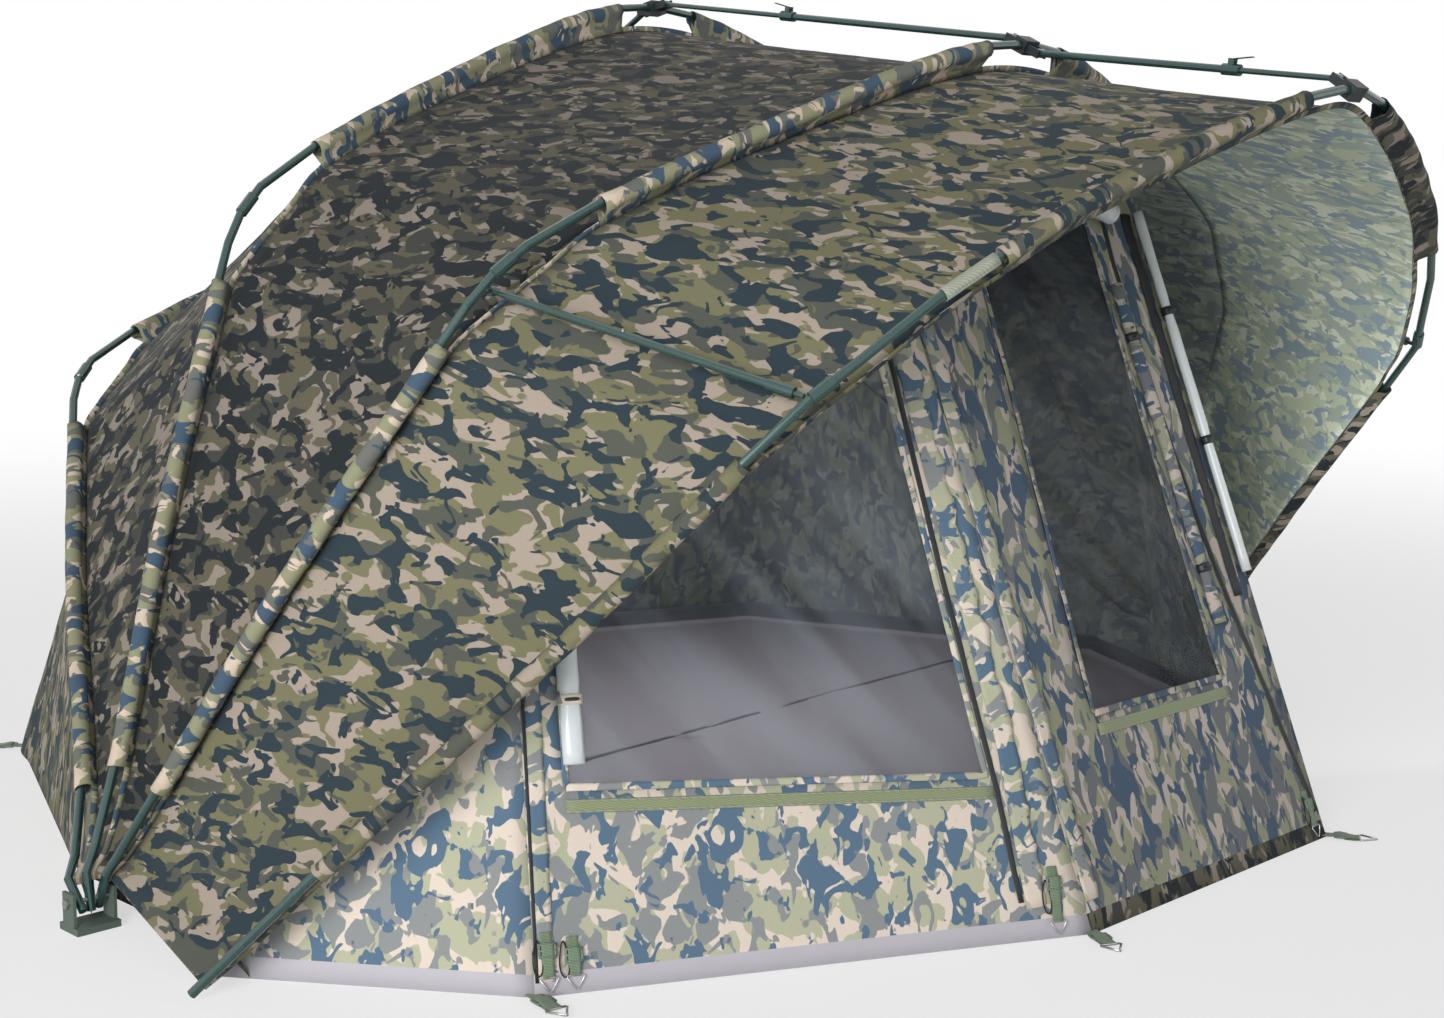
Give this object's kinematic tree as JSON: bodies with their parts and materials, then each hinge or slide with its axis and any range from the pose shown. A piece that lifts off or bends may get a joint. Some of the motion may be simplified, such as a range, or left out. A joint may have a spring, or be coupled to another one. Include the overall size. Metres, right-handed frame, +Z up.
{
  "type": "bivvy tent",
  "caption": "Dome-shaped bivvy tent: ribs on two ground pivots, canopy hung inside them, window panels in the front wall and a groundsheet.",
  "frame": {"origin": "on the ground, midway between the two pivot blocks, below the ribs' common pivot axis", "axes": "+X along the pivot axis to the tent's left as seen from the door, +Y towards the rear wall, +Z up; the door faces -Y"},
  "size_m": [3.3051, 2.9445, 1.6535],
  "materials": {
    "frame_paint": "satin dark teal green paint",
    "dark_plastic": "satin moulded plastic",
    "bright_metal": "bright plated steel",
    "camo_roof": "printed coated polyester",
    "camo_wall": "printed coated polyester",
    "groundsheet_grey": "heavy coated sheet",
    "window_mesh": "fine knitted mesh",
    "clear_cover": "clear soft vinyl, rolled",
    "olive_webbing": "woven webbing",
    "pale_strap": "woven strap"
  },
  "bodies": {
    "base": {"bracket_b": "dark_plastic", "canopy_middle_roof": "camo_roof", "canopy_rear": "camo_wall", "canopy_rear_roof": "camo_roof", "front_door": "camo_wall", "front_side_left": "camo_wall", "front_side_right": "camo_wall", "front_window_left": "camo_wall", "front_window_right": "camo_wall", "groundsheet": "groundsheet_grey", "peg_strap_door_left": "olive_webbing", "peg_strap_door_right": "olive_webbing", "peg_strap_front_left": "olive_webbing", "peg_strap_front_right": "olive_webbing", "peg_strap_rear_left": "olive_webbing", "peg_strap_rear_right": "olive_webbing", "pivot_block_left": "dark_plastic", "pivot_block_right": "dark_plastic", "pivot_bolt_left": "bright_metal", "pivot_bolt_right": "bright_metal", "rib_b_crown": "frame_paint", "rib_b_leg_left": "frame_paint", "rib_b_leg_right": "frame_paint", "rib_b_sleeves": "camo_wall", "window_cover_door": "clear_cover", "window_cover_left": "clear_cover", "window_mesh_door": "window_mesh", "window_mesh_left": "window_mesh"},
    "rear_rib": {"bracket_a": "dark_plastic", "rib_a_crown": "frame_paint", "rib_a_leg_left": "frame_paint", "rib_a_leg_right": "frame_paint", "rib_a_sleeves": "camo_wall"},
    "middle_rib": {"bracket_c": "dark_plastic", "canopy_front_hood": "camo_wall", "rib_c_crown": "frame_paint", "rib_c_leg_left": "frame_paint", "rib_c_leg_right": "frame_paint", "rib_c_sleeves": "camo_wall"},
    "front_frame": {"bracket_d": "dark_plastic", "rib_d_crown": "frame_paint", "rib_d_leg_left": "frame_paint", "rib_d_leg_right": "frame_paint", "rib_d_sleeves": "camo_wall", "side_bar_left": "frame_paint", "side_bar_right": "frame_paint", "storage_strap": "pale_strap"},
    "rear_bar": {"rear_bar_outer": "frame_paint"},
    "rear_rod": {"rear_bar_rod": "frame_paint"},
    "mid_bar": {"mid_bar_outer": "frame_paint"},
    "mid_rod": {"mid_bar_rod": "frame_paint"},
    "front_bar": {"front_bar_outer": "frame_paint"},
    "front_rod": {"front_bar_rod": "frame_paint"},
    "mid_lever": {"mid_clamp_lever": "dark_plastic"},
    "front_lever": {"front_clamp_lever": "dark_plastic"},
    "button_left": {"push_button_left": "bright_metal"},
    "button_right": {"push_button_right": "bright_metal"}
  },
  "joints": [
    {"name": "rear_rib_fold", "type": "hinge", "parent": "base", "child": "rear_rib", "pos_m": [0, 0, 0.05], "axis": [1, 0, 0], "range_deg": [0, 12], "deforming": ["canopy_rear", "canopy_rear_roof", "rib_a_sleeves", "rib_b_sleeves"]},
    {"name": "middle_rib_fold", "type": "hinge", "parent": "base", "child": "middle_rib", "pos_m": [0, 0, 0.05], "axis": [-1, 0, 0], "range_deg": [0, 12], "deforming": ["canopy_middle_roof", "rib_c_sleeves", "front_door", "front_side_left", "front_side_right", "front_window_left", "front_window_right", "window_cover_door", "window_cover_left", "window_mesh_door", "window_mesh_left"]},
    {"name": "front_frame_lift", "type": "hinge", "parent": "middle_rib", "child": "front_frame", "pos_m": [0, -0.4807, 1.07265], "axis": [-1, 0, 0], "range_deg": [0, 8], "deforming": ["canopy_front_hood", "rib_d_sleeves"]},
    {"name": "rear_bar_swing", "type": "hinge", "parent": "base", "child": "rear_bar", "pos_m": [0, 0.36105, 1.62971], "axis": [1, 0, 0], "range_deg": [0, 7]},
    {"name": "rear_bar_slide", "type": "slide", "parent": "rear_bar", "child": "rear_rod", "axis": [0, 0.8714, -0.4905], "range_m": [-0.34, 0]},
    {"name": "mid_bar_swing", "type": "hinge", "parent": "middle_rib", "child": "mid_bar", "pos_m": [0, -0.65657, 1.53141], "axis": [1, 0, 0], "range_deg": [0, 7]},
    {"name": "mid_bar_slide", "type": "slide", "parent": "mid_bar", "child": "mid_rod", "axis": [0, 0.993, 0.1182], "range_m": [-0.34, 0]},
    {"name": "front_bar_swing", "type": "hinge", "parent": "middle_rib", "child": "front_bar", "pos_m": [0, -0.72173, 1.50079], "axis": [-1, 0, 0], "range_deg": [0, 12]},
    {"name": "front_bar_slide", "type": "slide", "parent": "front_bar", "child": "front_rod", "axis": [0, -0.9945, -0.1043], "range_m": [-0.065, 0]},
    {"name": "mid_lever_open", "type": "hinge", "parent": "mid_bar", "child": "mid_lever", "pos_m": [0, -0.07949, 1.61574], "axis": [1, 0, 0], "range_deg": [0, 70]},
    {"name": "front_lever_open", "type": "hinge", "parent": "front_bar", "child": "front_lever", "pos_m": [0, -1.13409, 1.47312], "axis": [-1, 0, 0], "range_deg": [0, 70]},
    {"name": "button_left_press", "type": "slide", "parent": "front_frame", "child": "button_left", "axis": [0, -0.2472, 0.969], "range_m": [-0.0025, 0], "stiffness_N_per_m": 300, "springref_m": 0.002},
    {"name": "button_right_press", "type": "slide", "parent": "front_frame", "child": "button_right", "axis": [0, -0.2472, 0.969], "range_m": [-0.0025, 0], "stiffness_N_per_m": 300, "springref_m": 0.002}
  ],
  "couplings": [
    {"joint": "rear_bar_swing", "follows": "rear_rib_fold", "ratio": 0.4998},
    {"joint": "rear_bar_slide", "follows": "rear_rib_fold", "m_per_rad": -1.5704},
    {"joint": "mid_bar_swing", "follows": "middle_rib_fold", "ratio": 0.5001},
    {"joint": "mid_bar_slide", "follows": "middle_rib_fold", "m_per_rad": -1.566},
    {"joint": "front_bar_swing", "follows": "front_frame_lift", "ratio": 1.3845},
    {"joint": "front_bar_slide", "follows": "front_frame_lift", "m_per_rad": -0.435}
  ]
}
